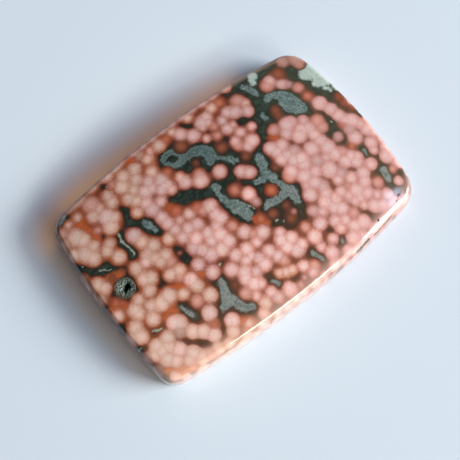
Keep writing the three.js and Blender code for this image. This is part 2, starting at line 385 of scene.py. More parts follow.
orbsEast = [
    (7.9, 2.9, .9), (8.2, 2.1, .9), (9.3, 2.4, .85), (8, .9, .85), (9, .9, .8), (10.1, .8, .8, "m"),
    (9.2, -.1, .9), (10.1, -.6, 1, "w"), (9.9, -1.3, .9), (8, -1.1, .95, "w"), (7.4, -1.5, .85, "s"),
    (8.9, -2.6, 1), (10.4, -2.9, .85), (9.4, -4, .9), (9.8, 4.6, .8, "s"), (10.8, 3.2, .8), (11.7, 4.2, 1),
    (12.3, 4.2, .7), (11.9, 2, .95), (12.7, 2.5, .9), (13.6, 2.1, .9), (13.6, 1, .8, "w"),
    (15.1, 2.2, .9, "s"), (15, 1.2, .8, "s"), (12, -.3, 1), (13.7, -.2, .8), (11.5, -1.9, .9, "m"),
    (13.8, -1.4, 1), (13.9, -2.7, .9), (12, -3.8, 1.1), (14.9, -2.9, .7, "s"), (14.4, -4.2, .9),
    (15.4, -4, .8), (16, -4.6, .7), (15.8, -1.1, .65, "m"), (17, 4, 1), (17.6, 2.5, .85), (17.8, 1.2, .85),
    (18.8, -.4, .95, "w"), (18, .2, .7), (17.3, -.1, .5, "r"), (17.5, -2.5, .95), (16.4, -3.1, .5, "o"),
    (18.7, -4.2, .8), (19.3, -1.4, .7), (19.6, -2.5, .9), (20.4, 1.9, .7, "w"), (20.1, -3.3, .8),
]
orbsSouthWest = [
    (-20.1, -5.4, .9), (-19, -5.9, 1), (-10.1, -5.2, .95), (-7.6, -5.1, .95, "p"), (-11.2, -6.7, .85, "s"),
    (-9.5, -7.1, 1), (-10.9, -8.75, 1, "p"), (-14.9, -7, 1, "w"), (-14.4, -7.5, 1), (-15, -8.3, .8, "d"),
    (-13.8, -9.2, .95), (-12.8, -10, .95), (-12, -11.1, .9, "w"), (-18.2, -7.9, 1), (-16.6, -7.9, .9),
    (-19.9, -8.3, .75, "d"), (-19, -8.6, .8), (-18, -8.8, 1), (-17.2, -8.9, .9), (-18.1, -9.9, 1),
    (-16.3, -9.9, .95, "w"), (-17.4, -10.7, .9), (-20.1, -10.3, .9, "d"), (-15.3, -11.2, 1),
    (-16.1, -11.6, .8), (-14.7, -12.3, .9), (-13.8, -12.5, .8, "s"), (-12.6, -12.7, .8),
    (-9.3, -11.1, 1, "w"), (-10, -12.2, .85), (-7.9, -12.6, .6), (-11.3, -10.2, .6, "o"),
    (-18.7, -12.1, .7, "p"), (-11.2, -13, .7),
]
orbsSouth = [
    (-5.6, -6.3, 1), (-4.1, -5.2, .9), (-2.6, -5.4, .9, "w"), (-2.7, -6.4, .7), (-1.1, -5.5, .8),
    (.3, -5, 1), (1.9, -6.3, .75), (-3.5, -6.5, .8), (-4.5, -7.5, .95), (-4.9, -8.2, .9),
    (-4.5, -9.3, 1, "w"), (-3.9, -9.7, .8), (-6, -9.6, .85, "s"), (-6.4, -8, .5, "u"), (-2, -8.3, 1),
    (-2.1, -7.2, .8), (-.6, -7.3, .9), (-.1, -8.4, .9), (.1, -9.3, .8, "s"), (1.4, -7.2, .95),
    (1.5, -8.3, .95, "w"), (2.6, -7.7, .95), (2.2, -9.3, 1), (3.1, -9.1, .85), (4.8, -7.7, .8, "s"),
    (5, -9.3, 1, "w"), (6.6, -8.5, .95), (6.9, -6.7, .8, "m"), (4.1, -5.8, .65, "u"), (4.9, -5.3, .4, "m"),
    (-1.3, -10.2, .7, "a"), (-.6, -10.6, .7, "a"), (.2, -10.8, .75, "a"), (1.6, -11.3, .85, "w"),
    (2.7, -12, .8, "s"), (-4.8, -11.9, .9, "a"), (-3.5, -11.3, .8), (-3.2, -12.3, .8), (2, -12.6, .7),
    (-3.4, -8.3, .8), (-5.8, -12.8, .8, "w"), (-1.5, -12.4, 1), (-.1, -12.8, .5, "s"), (.8, -12.4, .4, "m"),
    (5.4, -12.1, .95), (6.6, -10.9, .75), (7.2, -13.2, .8),
]
orbsSouthEast = [
    (7.9, -4.9, .95), (9.9, -5, .9, "m"), (9.6, -5.9, .8), (12, -5.5, .7), (12.9, -5, .8, "m"),
    (15.5, -5, .9), (16.8, -6.4, .8), (18.3, -5.2, .55), (8.8, -6.7, .9, "w"), (9.3, -7.9, .9),
    (10.2, -7.2, .8), (11.3, -6.9, .7), (12.4, -6.8, .45, "s"), (13.5, -6.3, .8), (15.2, -6.7, .85),
    (14.6, -7.7, .8), (13, -7.9, .95), (8.3, -9.3, .85), (10, -8.6, .9), (10.8, -9.9, .75, "s"),
    (12, -8.9, .65), (12.5, -10, .55), (15.9, -8.8, .75, "s"), (14.8, -9.9, .6), (13.5, -10.8, .9),
    (14.3, -11.3, .8), (8.2, -10.5, .75), (9.8, -11.3, .9), (11.1, -11.5, .9, "w"), (8.7, -12.3, .9),
    (18.2, -10.2, .6), (19.2, -6.8, 1), (20.1, -5.8, .9, "w"), (19.8, -8.3, .8), (13.9, -9, .8),
    (12.8, -9, .6),
]
orbsOnDome = [
    (*orb[:3], *(orb[3:] or usual))
    for usual, orbs in (
        ("a", orbsNorthWest), ("p", orbsNorth), ("s", orbsNorthEast), ("a", orbsWest), ("p", orbsCentre),
        ("p", orbsEast), ("a", orbsSouthWest), ("p", orbsSouth), ("p", orbsSouthEast),
    )
    for orb in orbs
]

# Pools and slivers between the orbs: chains of x, y, radius in millimetres
tealPools = [
    [(-3.6, 10.2, .35), (-2.9, 10.5, .4), (-2.1, 10.3, .4), (-1.6, 9.5, .35), (-1.2, 8.8, .5)],
    [(-3.7, 9.4, .25), (-3.2, 8.8, .3), (-2.3, 8.4, .4), (-1.2, 8.6, .5), (-.2, 8.7, .55)],
    [(-.2, 8.7, .6), (.6, 8.4, .65), (1.2, 7.9, .7), (1.5, 7.2, .75), (1.2, 6.5, .6), (.8, 6.1, .4)],
    [(1.9, 6.1, .2), (2.4, 5.5, .2), (3.1, 5, .35), (2.9, 4.3, .3)], [(3.1, 4.9, .3), (3.5, 4.2, .25)],
    [(-.8, 3, .6), (-1, 2.2, .25), (-.95, 1.3, .35), (-.8, .4, .5), (-.3, -.4, .75), (0, -1.2, .8),
     (.1, -2, .7), (0, -2.6, .35)],
    [(6.1, 3, .4), (5.9, 2.4, .55), (5.8, 1.9, .6), (5.4, 1.3, .4), (5.3, .6, .55), (5.6, .1, .65)],
    [(5.3, .5, .5), (4.3, .4, .45), (3.6, .4, .3)],
    [(5.6, .1, .65), (5.6, -.6, .55), (5.8, -1.2, .3), (6.1, -2.1, .6), (6.2, -3, .8), (6.3, -3.9, .55),
     (6.2, -4.6, .35)],
    [(6.2, -3, .6), (5.4, -2.9, .55), (4.4, -2.9, .45), (3.4, -2.7, .55), (2.6, -2.9, .35)],
    [(10.6, 11.9, .35), (11.2, 11, .45), (11.3, 10.2, .35)],
    [(11.9, 8.6, .45), (12.6, 8.9, .4), (13.3, 8.3, .6), (13.8, 7.8, .7), (14.3, 7, .7), (14.5, 6.3, .65),
     (14.6, 5.3, .75), (14.5, 4.8, .75)],
    [(13.2, 6.9, .5), (13.2, 5.8, .45), (13.8, 5.2, .5)],
    [(-10.4, 4.9, .35), (-10.2, 4.4, .4), (-10, 3.8, .35), (-9.9, 3.3, .25)],
    [(-7.5, -6.4, .35), (-7.7, -7.2, .5), (-8, -8, .6), (-8.3, -8.9, .75), (-7.6, -9.4, .6),
     (-7.5, -10.2, .55), (-7.2, -11, .5), (-6.5, -11.2, .45), (-5.9, -11.2, .3)],
    [(-8.4, -9, .6), (-9.3, -9.4, .3)], [(17.6, -8.2, .6), (17.2, -9.3, .4)],
    [(-2.6, -10.4, .25), (-2.2, -11.1, .45)], [(3.6, -10.9, .3), (3.9, -11.5, .35), (4, -12.1, .3)],
    [(7.3, -11.6, .3), (7.35, -11.9, .3)], [(-19.4, 11.2, .6), (-18.7, 11.8, .7), (-17.8, 12.4, .45)],
    [(-13.1, -6.2, .2), (-12.6, -7.7, .3)], [(17.2, -4.5, .3), (17.1, -5.2, .2)],
    [(10, 7.1, .3), (10, 6.6, .3)],
]
palePools = [
    [(12.1, 11.7, .5), (12.7, 12.6, .6)],
    [(18.4, 8.3, 1), (19.3, 8.7, 1.1), (19.7, 7.6, 1.1), (18.9, 6.5, .9), (20, 6, .8)],
    [(19, 5.3, .4), (19.5, 4.7, .3)], [(16, 13.2, .4), (19, 12.6, .4)], [(20.3, 4.8, .5), (20.6, -.2, .3)],
    [(20, -10.2, .5), (20.2, -9.4, .4)],
]
slivers = [
    [(-13.8, 5.9, .12), (-14, 4.9, .14), (-13.8, 4.2, .13), (-13.6, 3.6, .16), (-13.7, 2.7, .18),
     (-14, 2.5, .1)],
    [(-18.2, 3.6, .2), (-17.6, 3.2, .12), (-17.1, 2.9, .12)],
    [(-17.5, -6.2, .1), (-17.1, -6.5, .14), (-16.5, -6.6, .12)], [(-20.2, -6.9, .12), (-19.9, -7, .1)],
    [(-6.5, -4.9, .12), (-6.1, -4.85, .12)], [(.6, -.3, .1), (.9, -1.1, .13), (1.3, -2.1, .13)],
    [(2.3, -4.9, .12), (2.7, -4.9, .12)], [(3.1, -5.5, .14), (3.3, -5.3, .12)],
    [(-11.35, 11.9, .1), (-11.2, 11.7, .12)], [(3.8, -2.2, .08), (4.4, -2.4, .08), (5, -2.2, .08)],
    [(-19.7, 5.4, .1), (-19.5, 5.3, .1)], [(16.4, 1.1, .12), (16.4, .9, .12)],
]
darkGaps = [
    [(-5.5, 5, .7), (-4.5, 4.6, .7), (-3.5, 3.9, .7), (-2.5, 3.3, .65), (-1.6, 2.6, .6), (-.3, 2, .6)],
    [(-.3, 2.2, .5), (1.5, 3.1, .5), (2.4, 3.9, .5), (4.2, 3.2, .6), (5, 2.5, .4)],
    [(-2.6, 7.6, .5), (-1.4, 7.6, .6), (.2, 5.8, .5), (1.9, 5.6, .6)], [(-3.8, 9.6, .5), (-3.8, 8.4, .3)],
    [(3.2, 5.6, .5), (4, 4.8, .6)], [(8.6, 12.6, .5), (10.2, 12.6, .8), (12.2, 12.9, .8), (13.8, 12.3, .7)],
    [(10.3, 11.2, .8), (11.5, 10, .8), (10.6, 8.9, .7), (9.6, 7.6, .8), (9.4, 6.2, .8), (8.5, 5.6, .5)],
    [(11, 7.8, .8), (12.6, 7.2, .6), (12.3, 5.6, .6)],
    [(17.2, 10.9, .4), (17.2, 9, .5), (17.6, 7.2, .5), (17.7, 5.6, .5), (18.4, 4.6, .4), (18.9, 2.8, .4)],
    [(15.6, 7.6, .3), (15.5, 5.5, .3)], [(15, 12.1, .5), (17, 12.6, .5), (18.9, 13, .4)],
    [(-11.4, 8, .3), (-11.4, 5.9, .35)], [(-11, 5.4, .4), (-10.1, 4.3, .7), (-9.6, 2.9, .35)],
    [(-13.9, 6.2, .3), (-14, 4.6, .4), (-13.8, 2.7, .45)],
    [(-18.8, 3.9, .4), (-17.9, 3.3, .55), (-16.9, 2.8, .4)], [(-19.8, 5.2, .25), (-18.9, 4.2, .3)],
    [(-9.2, -1.2, .3), (-9.2, -2.1, .4)], [(1.2, 12.3, .15), (2.2, 11.5, .15)],
    [(3.2, .2, .5), (3.3, -2, .5), (5.9, -1.4, .5), (6.9, -3.6, .3), (5.6, -4.2, .5), (5.4, -5.9, .6)],
    [(2.5, -4.9, .35), (3.4, -6.4, .35), (5.3, -6.3, .45)], [(-13.1, -6, .45), (-12.5, -8, .45)],
    [(-7.6, -6.4, .6), (-8.2, -8.4, .9), (-7.4, -10.6, .7), (-6.2, -11.2, .5)],
    [(-9.4, -9.3, .5), (-10.4, -10, .4), (-10.8, -11.2, .3)],
    [(-15.2, -9.7, .25), (-13.3, -11.3, .3), (-12.8, -11.9, .25)], [(-20.5, -6.7, .3), (-19.6, -7.3, .25)],
    [(-19.3, -9.4, .15), (-18.9, -10.3, .2), (-19.6, -11.6, .25)],
    [(-2.8, -9.3, .35), (-2.5, -10.3, .5), (-2.1, -11.2, .5)], [(3.5, -10.8, .5), (4, -12, .5)],
    [(7.2, -9.9, .3), (7.3, -11.7, .4)], [(-.3, -12, .3), (.1, -11.9, .2)],
    [(17.2, -4.7, .5), (17.9, -6, .35), (17.3, -7.4, .4), (17.6, -8.6, .7), (17.2, -9.8, .5)],
    [(19.3, -10.5, .4), (18.6, -11.6, .5), (17.8, -12.2, .3)],
    [(16.8, -11.3, .35), (17.8, -10.6, .5), (18.6, -9.9, .35)],
    [(16.4, 2.6, .35), (16.5, 1.4, .5), (16.4, .2, .45)], [(15, -.1, .3), (16.4, -1.6, .35)],
    [(18.9, 5.2, .35), (19.4, 3.6, .4), (19.8, 1.4, .4), (20.2, -.4, .3)],
    [(10.8, 13.4, .6), (12.4, 13.2, .7), (14.4, 12.9, .7), (16, 12.6, .6)],
    [(-11.2, 11.9, .35), (-11.1, 11.4, .3)], [(-15.1, 6.5, .35), (-15.7, 6, .3)],
    [(-12.9, -1.5, .25), (-12.6, -2.6, .25)], [(-9.6, -.2, .2), (-9.3, -1.2, .3)],
    [(-17, 2.5, .35), (-16.3, 1.8, .35)], [(10.8, 6.6, .5), (10.6, 5.8, .45)],
    [(14.6, 3.7, .25), (15, 3.2, .2)], [(16.8, -.4, .3), (16.9, .6, .25), (15.9, .7, .3), (15.8, -.6, .2)],
    [(19.9, 5, .5), (20.4, 3.4, .4), (20.3, 1.4, .25)], [(-1.9, 11.2, .3), (-1, 11, .3)],
    [(9.6, 5.5, .35), (10.4, 5.6, .3)], [(19.2, -8.4, .35), (18.4, -9.4, .35)],
    [(9, 7.2, .35), (8.1, 7.9, .3), (7, 8.2, .25)],
    [(8.6, 6, .4), (8.6, 4.7, .3), (7.6, 4, .25), (6.6, 3.4, .3)], [(1.6, 8.6, .2), (2.4, 8.1, .2)],
    [(4, 7.5, .2), (4.2, 6.3, .2)], [(3.2, 9.7, .12), (2.6, 9.9, .12)], [(2.6, 1.3, .2), (3.2, .9, .2)],
    [(7, .1, .25), (7, -.6, .25)], [(15.6, -1.9, .25), (15.1, -2.4, .25)],
    [(3.3, -4.2, .25), (3.9, -3.6, .25)], [(7.4, -3.4, .35), (7.5, -2.7, .25)],
    [(12.3, -10.8, .25), (12, -11.6, .2)], [(16.3, .6, .35), (16.4, 2, .25)],
    [(-20.6, -.8, .5), (-20.3, -4.1, .3)], [(-17.1, 0, 1.5), (-17.1, .1, 1.5)],
    [(-20.3, 10.2, .3), (-20.4, 5.2, .3)], [(-14.2, -2.6, .18), (-14, -2.6, .18)],
]
embers = [  # gaps that glow orange
    [(-8.4, -12, .5), (-7.6, -12.6, .5)], [(-17.9, -11.8, .5), (-16.8, -12, .5)],
    [(-11.9, -4.1, .4), (-11.4, -4.4, .35)], [(-11.6, -9.8, .3), (-11, -10.2, .3)],
    [(-14.3, -5.5, .35), (-14, -6, .35)], [(-19, -10.9, .35), (-17.6, -11.8, .4), (-16.3, -12.5, .3)],
    [(-15.5, -5.9, .25), (-13.8, -5.4, .3)], [(-12.3, -3.9, .45), (-12, -3.9, .4)],
    [(-8.9, -4.2, .4), (-8.8, -4.5, .35)], [(-17.8, 9.8, .4), (-16.6, 10, .45)],
    [(-16.6, 9.9, .4), (-16.3, 8.4, .45), (-16, 7, .3)], [(-6.8, 4.5, .5), (-6.9, 3.5, .3)],
    [(9.3, 3.7, .35), (8.8, 4, .25)], [(-7.1, 12.9, .35), (-6.6, 12.6, .3)],
    [(-1.3, 6, .35), (-1, 5.9, .3)], [(-8, -12.4, .5), (-8.5, -12.9, .4)],
    [(-2.4, -1.7, .25), (-1.9, -2.7, .25)], [(.5, -3.1, .3), (1.4, -4.3, .3)],
    [(7.8, -7.8, .4), (7.7, -8.1, .3)], [(-20, -1.2, .3), (-18.2, -1.7, .3)],
    [(-18, 2, .5), (-16.4, 1.7, .4)],
]
wallMarks = [  # along the south wall and up it
    [(11.4, 4, .18), (14.6, 4.2, .18)], [(8.4, 4, .35), (10.3, 4.2, .3)], [(3.2, 4.1, .2), (3.9, 4.2, .15)],
    [(-.5, 1, .14), (2.4, 1.2, .14)], [(-6.3, 3.4, .2), (-5.6, 3.8, .15)],
    [(-11.2, 1.3, .2), (-9.8, 1.6, .15)], [(-18.2, .6, .15), (-16.6, .6, .15)],
]

orbPacking = {
    "seed": 11,
    "radius": (0.62, 1.05),
    "kinds": {"west": "aaaw", "east": "ppppwm", "border": -9},  # drawn from, on either side of this x
    # share of two radii that keeps two filled orbs apart
    "spacing": {"east": 0.76, "west": 0.9, "border": -7},
    "tries": {"dome": 14000, "wall": 9000, "back": 9000},
    "reach": {"dome": (20.8, 14.2), "back": (20.5, 14)},
    "under": {"read": 0.1, "dome": 0.25, "wall": 0.12, "back": 0.05},  # how deep the middles lie
    "bare": {"dome": 0.5, "wall": 0.6, "back": 0.2},  # noise above this leaves a bare patch
    "bareScale": 0.16,
    "bareShift": (7, 3, 1),
    "keepOff": 0.8,  # share of a filled orb's radius kept between its middle and a gap
    "wallClear": {"above": 1, "room": 0.3},  # the same at the shoulder, from this far above the girdle
    "merging": 5.5,  # per millimetre: how sharply one orb gives way to the next
    "neighbours": 6,
}
farOff = 9.0  # stands for no gap in reach


def fillOrbs(rng, placed, places, bare, spacing, room):
    # packs more orbs where none is read, clear of the gaps that are
    kinds = orbPacking["kinds"]
    centres = [np.array(orb[:3]) for orb in placed]
    radii = [orb[3] for orb in placed]
    added = []
    for place, near, clear in zip(places, spacing, room):
        radius = rng.uniform(*orbPacking["radius"])
        if clear < radius * orbPacking["keepOff"]:
            continue
        if noise.noise(Vector(place) * orbPacking["bareScale"] + Vector(orbPacking["bareShift"])) > bare:
            continue
        away = np.linalg.norm(np.array(centres) - place, axis=1)
        if (away < near * (np.array(radii) + radius)).any():
            continue
        centres.append(place)
        radii.append(radius)
        kind = rng.choice(list(kinds["west"] if place[0] < kinds["border"] else kinds["east"]))
        added.append((*place, radius, kind))
    return added


def scatter(rng, part):
    (x, y), tries = orbPacking["reach"][part], orbPacking["tries"][part]
    return rng.uniform(-x, x, tries), rng.uniform(-y, y, tries)


def allOrbs():
    under, bare, spacing = orbPacking["under"], orbPacking["bare"], orbPacking["spacing"]
    placed = [
        (x, y, float(domeHeight(x, y)) - under["read"], radius, kind) for x, y, radius, kind in orbsOnDome
    ]
    runs = outlineSides(stoneSizes, *stoneMesh["outlineSteps"])
    rims = np.concatenate([runs[name][0] for name in ("south", "east", "north", "west")])
    outward = np.concatenate([runs[name][1] for name in ("south", "east", "north", "west")])
    rng = np.random.default_rng(orbPacking["seed"])

    x, y = scatter(rng, "dome")
    room = chainField(np.column_stack((x, y)), tealPools + palePools + darkGaps + slivers)
    dome = np.column_stack((x, y, domeHeight(x, y) - under["dome"]))
    near = np.where(x < spacing["border"], spacing["west"], spacing["east"])
    placed += fillOrbs(rng, placed, dome, bare["dome"], near, room)

    n = rng.integers(len(rims), size=orbPacking["tries"]["wall"])
    crest = domeHeight(rims[n, 0], rims[n, 1])
    height = rng.uniform(0, crest - under["read"])
    girdle, shoulder = stoneSizes["girdle"], stoneSizes["shoulder"]
    rise = np.clip((height - girdle) / (crest - girdle), 0, 1)
    inset = under["wall"] + shoulder * (1 - np.sqrt(1 - rise ** 2))
    wall = np.column_stack((rims[n] - outward[n] * inset[:, None], height))
    low = height < girdle + orbPacking["wallClear"]["above"]
    clear = chainField(wall, tealPools + palePools + darkGaps) > orbPacking["wallClear"]["room"]
    wall = wall[low | clear]

    for part in ("wall", "back"):
        if part == "back":
            x, y = scatter(rng, "back")
            places = np.column_stack((x, y, np.full(len(x), under["back"])))
        else:
            places = wall
        near, room = np.full(len(places), spacing["east"]), np.full(len(places), farOff)
        placed += fillOrbs(rng, placed, places, bare[part], near, room)
    return placed


def warped(points, reach, scale, shift):
    # moves each point a little by smooth noise, so that no orb or pool is exact
    moved = points.copy()
    for n, point in enumerate(points):
        moved[n] += np.array(noise.noise_vector(Vector(point) * scale + Vector((shift, 0, 0)))) * reach
    return moved


def orbFields(points, orbs, tones):
    # for each point: distance to the merged skin of the orbs, share of the nearest one's radius, the seam
    # to the next one, and the tones of both blended
    centres = np.array([orb[:3] for orb in orbs])
    radii = np.array([orb[3] for orb in orbs])
    sharp = orbPacking["merging"]
    batch = 4000  # points at a time, for the memory
    parts = []
    for start in range(0, len(points), batch):
        part = points[start:start + batch]
        apart = np.linalg.norm(part[:, None] - centres[None], axis=2) - radii
        order = np.argpartition(apart, orbPacking["neighbours"], axis=1)[:, :orbPacking["neighbours"]]
        order = np.take_along_axis(order, np.take_along_axis(apart, order, 1).argsort(1), 1)
        reach = np.take_along_axis(apart, order, 1)
        weight = np.exp(-sharp * (reach - reach[:, :1]))
        edge = reach[:, 0] - np.log(weight.sum(1)) / sharp
        share = 1 + reach[:, 0] / radii[order[:, 0]]
        weight /= weight.sum(1, keepdims=True)
        blended = (tones[order] * weight[:, :, None]).sum(1)
        parts.append(np.column_stack((edge, share, reach[:, 1] - reach[:, 0], blended)))
    return np.concatenate(parts)


def chainField(points, chains):
    # signed distance in plan to a set of chains of discs, for points on the dome
    best = np.full(len(points), farOff)
    for chain in chains:
        for (ax, ay, ar), (bx, by, br) in zip(chain, chain[1:]):
            a, along = vec2(ax, ay), vec2(bx - ax, by - ay)
            reach = points[:, :2] - a
            share = np.clip(reach @ along / (along @ along), 0, 1)
            distance = np.linalg.norm(reach - share[:, None] * along, axis=1) - (ar + (br - ar) * share)
            best = np.minimum(best, distance)
    return best


painting = {
    "seed": 5,
    "warpSeed": 4,  # without one, noise_vector starts from the clock and each run differs
    "orbWarp": (0.09, 0.9, 0),  # reach, scale and shift of the noise that bends the orbs
    "poolWarp": (0.22, 1.3, 9),
    "toneSpread": 0.18,  # how far an orb's tones stray from its kind's
    "toneShares": (0.6, 0.2, 0, 1),  # of warm, deep, dull and light
    # painted shade: the orbs' light tone falls towards the north west, which faces away from the lamps
    "paintedShadeSlope": (0.012, -0.016),  # darker to the north west
    "poolDepth": 1.6,  # pools end this far below the dome
    "markReach": 1.2,  # wall marks end this far in from the south side
    "pinLength": 0.05,
}


def paintField(piece, name, values, low, high):
    # stores a value at each point of the mesh, for the material
    attribute = piece.data.attributes.new(name, "FLOAT", "POINT")
    attribute.data.foreach_set("value", np.clip(values, low, high).astype(np.float32))


def paintFields(stone):
    points = readPoints(stone) / mm
    orbs = allOrbs()
    noise.seed_set(painting["warpSeed"])
    orbPoints = warped(points, *painting["orbWarp"])
    rng = np.random.default_rng(painting["seed"])
    names = ("warm", "deep", "dull", "light")
    tones = np.array([[orbKinds[orb[4]][name] for name in names] for orb in orbs])
    spread = painting["toneSpread"]
    tones += rng.uniform(-spread, spread, (len(orbs), 1)) * painting["toneShares"]
    # painted shade: each orb's light tone is lowered towards the north west
    tones[:, 3] += np.array([orb[:2] for orb in orbs]) @ painting["paintedShadeSlope"]
    fields = orbFields(orbPoints, orbs, np.clip(tones, 0, 1))
    limits = {"Edge": (-9, 9), "Share": (0, 3), "Seam": (0, 1.5), "Warm": (0, 1), "Deep": (0, 1),
              "Dull": (0, 1), "Light": (0, 1)}
    for (name, (low, high)), values in zip(limits.items(), fields.T):
        paintField(stone, "orb" + name, values, low, high)
    poolPoints = warped(points, *painting["poolWarp"])
    drop = domeHeight(points[:, 0], points[:, 1]) - points[:, 2]
    for name, chains in (("tealEdge", tealPools), ("paleEdge", palePools), ("sliverEdge", slivers),
                         ("darkEdge", darkGaps), ("emberEdge", embers)):
        distance = chainField(poolPoints, chains)
        paintField(stone, name, np.where(drop > painting["poolDepth"], 3, distance), -1.5, 3)
    paintField(stone, "edgeDrop", drop, 0, 6)
    sides = outlineSides(stoneSizes, *stoneMesh["outlineSteps"])
    inside = {}
    for side in ("south", "north"):
        rim = sides[side][0]
        inside[side] = np.abs(np.interp(points[:, 0], rim[:, 0], rim[:, 1]) - points[:, 1])
        paintField(stone, side + "Inside", inside[side], 0, 4)
    marks = chainField(poolPoints[:, [0, 2]], wallMarks)
    paintField(stone, "markEdge", np.where(inside["south"] < painting["markReach"], marks, 3), -1, 3)
    pins = [[(x, y, size), (x, y + painting["pinLength"], size)] for x, y, size in pinholes]
    paintField(stone, "pinEdge", chainField(points, pins), -1, 3)
    print("orbs laid out:", len(orbs))


# Node helpers
making = {"tree": None}  # the node tree they add to


def paint(red, green, blue):
    # a colour as seen on screen, 0 to 255, made linear
    def linear(c):
        c /= 255
        return c / 12.92 if c <= 0.04045 else ((c + 0.055) / 1.055) ** 2.4
    return (linear(red), linear(green), linear(blue), 1)


def feed(value, socket):
    # links another node's output, or sets a plain value or a colour
    if isinstance(value, bpy.types.NodeSocket):
        making["tree"].links.new(value, socket)
    else:
        socket.default_value = paint(*value) if socket.type == "RGBA" else value


def addNode(kind, inputs=None, **settings):
    node = making["tree"].nodes.new(kind)
    for name, value in settings.items():
        setattr(node, name, value)
    for name, value in (inputs or {}).items():
        feed(value, node.inputs[name])
    return node


def calc(operation, a, b=0.0, c=0.0, clamp=False):
    node = addNode("ShaderNodeMath", {0: a, 1: b, 2: c}, operation=operation, use_clamp=clamp)
    return node.outputs[0]


def plus(a, b):
    return calc("ADD", a, b)


def times(a, b):
    return calc("MULTIPLY", a, b)


def timesPlus(a, b, c, clamp=False):
    return calc("MULTIPLY_ADD", a, b, c, clamp)


def between(value, low, high, toLow=0.0, toHigh=1.0):
    # eased share of the way from low to high
    inputs = {0: value, 1: low, 2: high, 3: toLow, 4: toHigh}
    return addNode("ShaderNodeMapRange", inputs, interpolation_type="SMOOTHSTEP").outputs[0]


def mix(share, a, b, mode="MIX"):
    return addNode("ShaderNodeMix", {0: share, 6: a, 7: b}, data_type="RGBA", blend_type=mode).outputs[2]


def layered(colour, *layers):
    # lays one tone after another over the colour, each by its share
    for share, tone in layers:
        colour = mix(share, colour, tone)
    return colour


def colourRamp(value, stops):
    node = addNode("ShaderNodeValToRGB", {0: value})
    ramp = node.color_ramp
    ramp.interpolation = "EASE"
    while len(ramp.elements) < len(stops):
        ramp.elements.new(1)
    for element, (place, colour) in zip(ramp.elements, stops):
        element.position = place
        element.color = paint(*colour)
    return node.outputs[0]


def field(name):
    return addNode("ShaderNodeAttribute", attribute_name=name).outputs["Fac"]


def noiseAt(place, scale, detail=2.0, roughness=0.5, distortion=0.0):
    node = addNode("ShaderNodeTexNoise", {
        "Vector": place, "Scale": scale, "Detail": detail, "Roughness": roughness, "Distortion": distortion,
    })
    return node.outputs["Fac"]


def scaledBy(place, factor):
    return addNode("ShaderNodeVectorMath", {0: place, "Scale": factor}, operation="SCALE").outputs[0]


def placeInMillimetres():
    return scaledBy(addNode("ShaderNodeTexCoord").outputs["Object"], 1 / mm)


def makeGrainGroup():
    # fine mineral speckle: fibres and grains a tenth of a millimetre across
    tree = making["tree"] = bpy.data.node_groups.new("mineralGrain", "ShaderNodeTree")
    for name, kind, way in (
        ("Place", "NodeSocketVector", "INPUT"), ("Grains", "NodeSocketFloat", "INPUT"),
        ("Speckle", "NodeSocketFloat", "OUTPUT"), ("Mottle", "NodeSocketFloat", "OUTPUT"),
    ):
        tree.interface.new_socket(name, in_out=way, socket_type=kind)
    given = addNode("NodeGroupInput").outputs
    place = scaledBy(given["Place"], given["Grains"])
    cells = addNode("ShaderNodeTexVoronoi", {"Vector": place, "Scale": 1}, feature="F1")
    cellTone = addNode("ShaderNodeSeparateColor", {0: cells.outputs["Color"]}).outputs[0]
    speckle = timesPlus(cellTone, 0.45, times(noiseAt(place, 0.9, 3, 0.65), 0.55))
    addNode("NodeGroupOutput", {"Speckle": speckle, "Mottle": noiseAt(place, 0.28, 2, 0.6)})
    return tree


grainGroup = makeGrainGroup()


def addGrain(place, grains):
    node = addNode("ShaderNodeGroup", {"Place": place, "Grains": grains}, node_tree=grainGroup)
    return node.outputs["Speckle"], node.outputs["Mottle"]


def startMaterial(name):
    material = bpy.data.materials.new(name)
    material.use_nodes = True
    making["tree"] = material.node_tree
    material.node_tree.nodes.clear()
    return material


def addShader(inputs):
    shader = addNode("ShaderNodeBsdfPrincipled", inputs)
    addNode("ShaderNodeOutputMaterial", {0: shader.outputs[0]})


